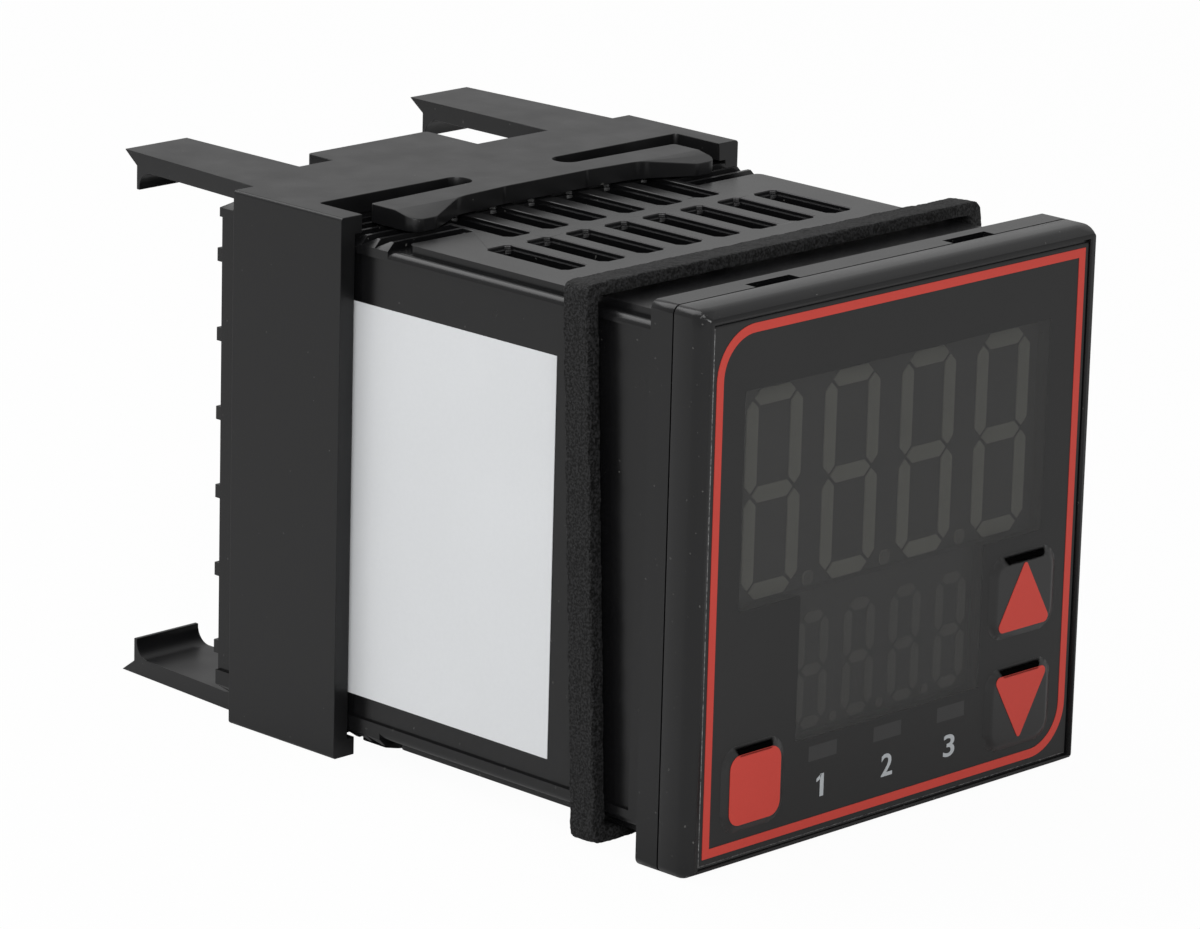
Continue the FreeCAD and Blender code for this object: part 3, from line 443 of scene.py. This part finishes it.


# Gives a finished piece its shading, hangs it on the body it rides on and hides the CAD nodes it stands in
# for.
def finishPiece(piece, body, slotName, *replaced, flatFaces=True):
    deselectAll()
    bpy.context.view_layer.objects.active = piece
    piece.select_set(True)
    bpy.ops.object.shade_smooth_by_angle(angle=math.radians(32))
    if flatFaces:
        applyModifier(piece, "WEIGHTED_NORMAL", weight=100, keep_sharp=True)
    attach(piece, body)
    if replaced:
        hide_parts(*replaced)
    print("made", piece.name, len(piece.data.polygons), "faces")


# Pieces whose shape is right already and only need their edges eased, by these widths.
easedEdgesMm = {
    "panel_clamp": 0.07, "terminal_block_left": 0.12, "terminal_block_middle": 0.12,
    "terminal_block_right": 0.12, "terminal_plates_left": 0.1, "terminal_plates_middle": 0.1,
    "terminal_plates_right": 0.1, "transformer_core": 0.15, "transformer_winding": 0.4,
    "supply_capacitors": 0.4, "output_relays": 0.3, "processor_chips": 0.12, "tact_switches": 0.1,
    "side_label": 0.02,
}
for nodeName, widthMm in easedEdgesMm.items():
    piece = copyNode(nodeName)
    bevelSharp(piece, widthMm)
    finishPiece(piece, bodyOf(nodeName), slotOf[nodeName], nodeName)

# The face's four corners are tighter than the solids': their arcs keep the same flat sides and move
# outward. The arc at the rim of the front and all beyond the recess move. What lies between them just
# behind the front is brought level with it.
faceCorner = {"roundMm": 1.8, "tightMm": 0.75, "leastMm": 0.3, "rimMm": 1.2, "recessMm": 1.3,
              "levelMm": 0.15}


def tightenCorners(piece):
    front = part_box("front_bezel")[0][1]
    centre = Vector((cadBox[1][0], cadBox[1][2])) - Vector((1, 1)) * faceCorner["roundMm"] * mm
    for vertex in piece.data.vertices:
        away = Vector((abs(vertex.co.x), abs(vertex.co.z))) - centre
        reach = away.length / mm
        if min(away) < -weld or reach < faceCorner["rimMm"] - nearMm:
            continue
        onRim = vertex.co.y < front + near and abs(reach - faceCorner["rimMm"]) < nearMm
        if reach > faceCorner["recessMm"] or onRim:
            radius = max(faceCorner["leastMm"], reach - faceCorner["roundMm"] + faceCorner["tightMm"])
            place = centre + Vector((1, 1)) * (reach - radius) * mm + away * radius / reach
            vertex.co.x = math.copysign(place.x, vertex.co.x)
            vertex.co.z = math.copysign(place.y, vertex.co.z)
        elif vertex.co.y < front + faceCorner["levelMm"] * mm:
            vertex.co.y = front


# Sleeve: the mouths of the vents are rounder than its other edges, and below them the walls step in,
# which shows as a thin light line inside each vent. The step slopes: stepSlope is its height, as a share
# of its depth below the mouth. cornerLimit keeps the corners of a vent from going in too far.
sleeve = {"ventRoundMm": 0.17, "easeMm": 0.12, "ventsStartMm": 16.0, "ventsEndMm": 37.2,
          "ventsAcrossMm": 18.5, "stepDownMm": 0.33, "stepSlope": 0.15, "stepInMm": 0.2, "cornerLimit": 0.6}


def inVents(point):
    along = sleeve["ventsStartMm"] * mm < point.y < sleeve["ventsEndMm"] * mm
    return along and abs(point.x) < sleeve["ventsAcrossMm"] * mm


# Cuts the walls of the vents along the step and moves what is below it into the openings.
def stepVents(piece, level):
    mesh = bmesh.new()
    mesh.from_mesh(piece.data)
    depth, inward = sleeve["stepDownMm"] * mm, sleeve["stepInMm"] * mm
    stepTop, stepFoot = level - depth, level - (1 + sleeve["stepSlope"]) * depth

    def topOf(face):
        return max(abs(vertex.co.z) for vertex in face.verts)

    def isVentWall(face):
        upright = abs(face.normal.z) < 0.02
        return upright and all(inVents(vertex.co) for vertex in face.verts)

    for cutAt in (stepTop, -stepTop, stepFoot, -stepFoot):
        parts = set()
        for face in filter(isVentWall, mesh.faces):
            if topOf(face) > stepFoot - near and face.calc_center_median().z * cutAt > 0:
                parts.update((face, *face.edges, *face.verts))
        bmesh.ops.bisect_plane(mesh, geom=list(parts), dist=weld,
                               plane_co=(0, 0, cutAt), plane_no=(0, 0, 1))
    normalsAt = {}
    for face in filter(isVentWall, mesh.faces):
        if topOf(face) < stepFoot + near:
            for vertex in face.verts:
                normalsAt.setdefault(vertex, []).append(face.normal.copy())
    for vertex, normals in normalsAt.items():
        mean = sum(normals, Vector()).normalized()
        vertex.co += mean * inward / max(sleeve["cornerLimit"], mean.dot(normals[0]))
    mesh.normal_update()
    mesh.to_mesh(piece.data)
    mesh.free()


def buildSleeve():
    piece = copyNode("housing_sleeve")
    level = max(vertex.co.z for vertex in piece.data.vertices if vertex.co.y > sleeve["ventsStartMm"] * mm)

    def onMouth(a, b):
        return all(inVents(end) and abs(abs(end.z) - level) < near for end in (a, b))

    tightenCorners(piece)
    stepVents(piece, level)
    roundEdges(piece, onMouth, sleeve["ventRoundMm"], 3)
    bevelSharp(piece, sleeve["easeMm"])
    finishPiece(piece, "housing", slotOf["housing_sleeve"], "housing_sleeve")


buildSleeve()

# Bezel: the sloped front edge is rounded where it leaves the sides and keeps its sharp crease in front.
# The split line is rounded on the outside only, beyond outerShare of the half width.
bezel = {"depthMm": 3.55, "slopeMm": 1.1, "slopeRoundMm": 1.15, "splitMm": 0.14, "outerShare": 0.92,
         "creaseMm": 0.04, "filmGapMm": 0.1, "seatRaiseMm": 0.4}


def buildBezel():
    piece = copyNode("front_bezel")
    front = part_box("front_bezel")[0][1]
    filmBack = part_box("film_overlay")[1][1]
    # the seat of the film reaches nearer to the top edge
    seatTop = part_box("film_overlay")[1][2] + bezel["filmGapMm"] * mm
    for vertex in piece.data.vertices:
        if abs(vertex.co.z - seatTop) < near and vertex.co.y < filmBack + near:
            vertex.co.z += bezel["seatRaiseMm"] * mm
    slope, split = front + bezel["slopeMm"] * mm, front + bezel["depthMm"] * mm
    outer = bezel["outerShare"] * cadBox[1][0]

    def onSplit(a, b):
        return bothAt(split, a, b) and all(max(abs(end.x), abs(end.z)) > outer for end in (a, b))

    roundEdges(piece, lambda a, b: bothAt(slope, a, b), bezel["slopeRoundMm"], 8)
    tightenCorners(piece)
    roundEdges(piece, onSplit, bezel["splitMm"], 3)
    bevelSharp(piece, bezel["creaseMm"])
    finishPiece(piece, "chassis", slotOf["front_bezel"], "front_bezel", flatFaces=False)


buildBezel()

# Film: its cut edge is eased and carries a painted highlight where the clear plastic catches the light.
film = {"edgeMm": 0.13, "grooveMm": 0.07, "raiseMm": 0.2}


def buildFilm():
    piece = copyNode("film_overlay")
    piece.data.materials.append(finishes["cutPolyester"])
    low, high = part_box("film_overlay")
    groove = film["grooveMm"] * mm
    for vertex in piece.data.vertices:
        for axis in (0, 2):
            for side, inward in ((low, 1), (high, -1)):
                if abs(vertex.co[axis] - side[axis]) < near:
                    vertex.co[axis] += inward * groove
        if vertex.co.z > high[2] - 2 * groove:
            vertex.co.z += film["raiseMm"] * mm
    low, high = meshBox(piece)

    def onRim(a, b):
        sides = ((0, low[0]), (0, high[0]), (2, low[2]), (2, high[2]))
        inFront = abs(a.y - low[1]) + abs(b.y - low[1]) < near
        return inFront and any(abs(a[axis] - at) + abs(b[axis] - at) < near for axis, at in sides)

    # the eased rim of the front takes the painted highlight
    roundEdges(piece, onRim, film["edgeMm"], 1, materialIndex=1)
    # the upper edge lies in the shade of the bezel and stays dark
    for polygon in piece.data.polygons:
        facesUp = polygon.normal.z > 0.5
        if facesUp:
            polygon.material_index = 0
    finishPiece(piece, "chassis", slotOf["film_overlay"], "film_overlay")


buildFilm()

# Keys: the film is embossed over each one, so the foot of the key closes the gap round it.
# The foot is what lies in the film beyond footShare of the half size.
# Painted shade, matt black, lies over the upper slope of each key, with soft edges, and its sides lean in
# lower down by the taper given below.
keys = {"cornerMm": 1.8, "footMm": 0.055, "footShare": 0.75, "crownMm": 0.25, "slopeMm": 0.6,
        "inkWidth": 0.68, "inkDownMm": 0.3, "inkLiftMm": 0.06, "inkThickMm": 0.01, "inkSoftMm": 0.4,
        "inkTaper": 0.5}


# Painted shade, matt black, that fades out at the sides and at its lower and upper edges.
def slopeShadeFinish(name, across, halfWidth, low, high):
    material = grainedFinish(name, looks["mattInkBlack"])
    material.surface_render_method = "BLENDED"
    tree = material.node_tree
    shader = next(node for node in tree.nodes if node.type == "BSDF_PRINCIPLED")
    place = next(node for node in tree.nodes if node.type == "TEX_COORD").outputs["Object"]
    parts = addNode(tree, "ShaderNodeSeparateXYZ", links={0: place})
    below = addMath(tree, "SUBTRACT", {0: high}, {1: parts.outputs["Z"]})
    fades = []
    for axis, middle, half in (("X", across, halfWidth), ("Z", (low + high) / 2, (high - low) / 2)):
        shift = addMath(tree, "SUBTRACT", {1: middle}, {0: parts.outputs[axis]})
        away = addMath(tree, "ABSOLUTE", links={0: shift})
        if axis == "X":
            away = addMath(tree, "MULTIPLY_ADD", {1: keys["inkTaper"]}, {0: below, 2: away})
        fade = addNode(tree, "ShaderNodeMapRange", {
            "interpolation_type": "SMOOTHSTEP", "From Min": half,
            "From Max": half - keys["inkSoftMm"] * mm}, {"Value": away})
        fades.append(fade.outputs[0])
    cover = addMath(tree, "MULTIPLY", links={0: fades[0], 1: fades[1]})
    tree.links.new(cover, shader.inputs["Alpha"])
    return material


# Turns a copy of a key into the painted shade on its upper slope: cut out, lifted off the key, thin and
# black.
def makeSlopeShade(slopeShade, nodeName, across, halfWidth):
    slopeShade.name = "keyInk" + nodeName.split("_")[1].capitalize()
    front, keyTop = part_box("film_overlay")[0][1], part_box(nodeName)[1][2]
    bottom, top = keyTop - (keys["slopeMm"] + keys["inkDownMm"]) * mm, keyTop + keys["footMm"] * mm
    cuts = (((across - halfWidth, 0, 0), (1, 0, 0)), ((across + halfWidth, 0, 0), (-1, 0, 0)),
            ((0, 0, bottom), (0, 0, 1)), ((0, front, 0), (0, -1, 0)))
    editPiece(slopeShade)
    for point, normal in cuts:
        bpy.ops.mesh.select_all(action="SELECT")
        bpy.ops.mesh.bisect(plane_co=point, plane_no=normal, clear_inner=True)
    bpy.ops.object.mode_set(mode="OBJECT")
    for vertex in slopeShade.data.vertices:
        vertex.co.y -= keys["inkLiftMm"] * mm
    applyModifier(slopeShade, "SOLIDIFY", thickness=keys["inkThickMm"] * mm, offset=1)
    setMaterial(slopeShade, slopeShadeFinish("mattInkBlack", across, halfWidth, bottom, top))
    finishPiece(slopeShade, bodyOf(nodeName), slotOf["border_print"])


def buildKey(nodeName):
    low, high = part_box(nodeName)
    filmLow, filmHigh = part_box("film_overlay")
    across, up = (low[0] + high[0]) / 2, (low[2] + high[2]) / 2
    wide, tall = (high[0] - low[0]) / 2, (high[2] - low[2]) / 2
    piece = copyNode(nodeName)
    corner = keys["cornerMm"] * mm
    for vertex in piece.data.vertices:
        away = Vector((vertex.co.x - across, vertex.co.z - up))
        inFilm = filmLow[1] - near < vertex.co.y < filmHigh[1] + near
        if inFilm and max(abs(away.x) / wide, abs(away.y) / tall) > keys["footShare"]:
            inner = Vector((max(corner - wide, min(wide - corner, away.x)),
                            max(corner - tall, min(tall - corner, away.y))))
            push = (away - inner).normalized() * keys["footMm"] * mm
            vertex.co.x += push.x
            vertex.co.z += push.y
    roundEdges(piece, lambda a, b: bothAt(low[1], a, b), keys["crownMm"], 4)
    # a copy of the key becomes the painted shade over its upper slope
    slopeShade = linkedCopy(piece)
    finishPiece(piece, bodyOf(nodeName), slotOf[nodeName], nodeName)
    makeSlopeShade(slopeShade, nodeName, across, wide * keys["inkWidth"])


for nodeName in ("key_square", "key_up", "key_down"):
    buildKey(nodeName)

# Displays: the eight-sided points between the large digits, and all the small digits, show less epoxy.
points = {"sides": 8, "largestMm2": 2.0}


def isPoint(polygon):
    upright = abs(polygon.normal.y) > 0.9
    small = polygon.area < points["largestMm2"] * mm * mm
    return upright and small and len(polygon.vertices) == points["sides"]


def buildSegments(nodeName, isThin):
    piece = copyNode(nodeName)
    piece.data.materials.append(finishes["thinEpoxy"])
    for polygon in piece.data.polygons:
        if isThin(polygon):
            polygon.material_index = 1
    finishPiece(piece, bodyOf(nodeName), slotOf[nodeName], nodeName)


buildSegments("upper_segments", isPoint)
buildSegments("lower_segments", lambda polygon: True)

# Numerals under the lamps, printed on the film: text, middle across and width in mm.
numerals = {"numeralOne": ("1", -8.41, 0.86), "numeralTwo": ("2", -0.22, 1.37),
            "numeralThree": ("3", 7.55, 1.39)}
numeralStyle = {"lowMm": -19.72, "heightMm": 1.95, "thickMm": 0.03, "bold": 0.012}

# The figure one is a stem with a flag; its corners are given across and up, for a height of one.
figureOne = (((0.22, 0), (0.44, 0), (0.44, 1), (0.22, 1)), ((0, 0.68), (0.22, 0.78), (0.3, 1), (0, 0.82)))


def drawOne():
    bpy.ops.mesh.primitive_plane_add(size=1, location=(0, 0, 0))
    piece = bpy.context.object
    editPiece(piece)
    bpy.ops.mesh.primitive_plane_add(size=1, location=(0, 0, 0))
    bpy.ops.object.mode_set(mode="OBJECT")
    for polygon, corners in zip(piece.data.polygons, figureOne):
        for index, corner in zip(polygon.vertices, corners):
            piece.data.vertices[index].co = (*corner, 0)
    applyModifier(piece, "SOLIDIFY", thickness=0.1)  # any thickness: buildNumeral sets the real one
    return piece


def drawText(text):
    bpy.ops.object.text_add(location=(0, 0, 0))
    piece = bpy.context.object
    piece.data.body = text
    piece.data.offset = numeralStyle["bold"]
    piece.data.extrude = 0.5  # any thickness here too
    bpy.ops.object.convert(target="MESH")
    return piece


def buildNumeral(name, text, acrossMm, widthMm):
    deselectAll()
    piece = drawOne() if text == "1" else drawText(text)
    piece.name = name
    low, high = meshBox(piece)
    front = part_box("film_overlay")[0][1]
    wantedMm = (widthMm, numeralStyle["heightMm"], numeralStyle["thickMm"])
    for vertex in piece.data.vertices:
        across, up, out = ((vertex.co[axis] - low[axis]) * wantedMm[axis] / (high[axis] - low[axis]) * mm
                           for axis in range(3))
        vertex.co = ((acrossMm - widthMm / 2) * mm + across, front - out, numeralStyle["lowMm"] * mm + up)
    editPiece(piece)
    bpy.ops.mesh.select_all(action="SELECT")
    bpy.ops.mesh.remove_doubles(threshold=weld)
    bpy.ops.mesh.normals_make_consistent(inside=False)
    bpy.ops.object.mode_set(mode="OBJECT")
    piece.data.materials.append(finishes["screenInkGrey"])
    finishPiece(piece, "chassis", slotOf["border_print"])


for name, (text, acrossMm, widthMm) in numerals.items():
    buildNumeral(name, text, acrossMm, widthMm)

# Gasket: die-cut foam, so its faces are granular and its edges wavy with small nicks.
gasket = {"easeMm": 0.08, "voxelMm": 0.2, "grainMm": 0.3, "grainDepthMm": 0.1, "waveMm": 2.2,
          "waveDepthMm": 0.16, "midLevel": 0.8}  # a mid level over 0.5 moves most of the surface inward


def buildGasket():
    piece = copyNode("panel_gasket")
    bevelSharp(piece, gasket["easeMm"])
    applyModifier(piece, "REMESH", mode="VOXEL", voxel_size=gasket["voxelMm"] * mm)
    for name in ("wave", "grain"):
        texture = bpy.data.textures.new(name, "CLOUDS")
        texture.noise_scale = gasket[name + "Mm"] * mm
        applyModifier(piece, "DISPLACE", texture=texture, texture_coords="LOCAL",
                      strength=gasket[name + "DepthMm"] * mm, mid_level=gasket["midLevel"])
    setMaterial(piece, finishes["foamRubber"])
    finishPiece(piece, "housing", slotOf["panel_gasket"], "panel_gasket")


buildGasket()

# Terminal screws: pan heads with a slot across a shorter cross. Each is turned on from the one below it
# and from the one in the block before, as screws end up when they are tightened.
screw = {"rows": 5, "sides": 48, "crownMm": 0.5, "slotMm": 0.85, "slotDepthMm": 0.9, "slotPastHead": 1.1,
         "crossMm": 3.4, "easeMm": 0.06, "easeAngle": 30, "rowTurn": 37, "columnTurn": 61}


def buildScrew(radius, depth):
    bpy.ops.mesh.primitive_cylinder_add(vertices=screw["sides"], radius=radius, depth=depth,
                                        location=(0, depth / 2, 0), rotation=(math.radians(-90), 0, 0))
    head = bpy.context.object
    bpy.ops.object.transform_apply(location=True, rotation=True)
    roundEdges(head, lambda a, b: min(a.y, b.y) > depth - near, screw["crownMm"], 4)
    slot, slotLength = screw["slotMm"] * mm, 2 * radius * screw["slotPastHead"]
    for length, width in ((slotLength, slot), (slot, screw["crossMm"] * mm)):
        bpy.ops.mesh.primitive_cube_add(size=1, location=(0, depth, 0))
        cutter = bpy.context.object
        cutter.scale = (length, screw["slotDepthMm"] * 2 * mm, width)
        bpy.ops.object.transform_apply(location=True, scale=True)
        applyModifier(head, "BOOLEAN", object=cutter, operation="DIFFERENCE", solver="EXACT")
        bpy.data.objects.remove(cutter)
    bevelSharp(head, screw["easeMm"], angle=screw["easeAngle"])
    return head


def buildScrewRow(nodeName, column):
    low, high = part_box(nodeName)
    radius = (high[0] - low[0]) / 2
    head = buildScrew(radius, high[1] - low[1])
    across, pitch = (low[0] + high[0]) / 2, (high[2] - low[2] - 2 * radius) / (screw["rows"] - 1)
    heads = []
    for row in range(screw["rows"]):
        angle = math.radians(screw["rowTurn"] * row + screw["columnTurn"] * column)
        place = Matrix.Translation((across, low[1], low[2] + radius + pitch * row))
        turned = linkedCopy(head)
        turned.data.transform(place @ Matrix.Rotation(angle, 4, "Y"))
        heads.append(turned)
    bpy.data.objects.remove(head)
    deselectAll()
    for turned in heads:
        turned.select_set(True)
    bpy.context.view_layer.objects.active = heads[0]
    bpy.ops.object.join()
    piece = bpy.context.object
    piece.name = "terminalScrews" + nodeName.split("_")[2].capitalize()
    setMaterial(piece, finishes["zincPlatedSteel"])
    finishPiece(piece, bodyOf(nodeName), slotOf[nodeName], nodeName)


for column, side in enumerate(("left", "middle", "right")):
    buildScrewRow(f"terminal_screws_{side}", column)
print("pieces finished")
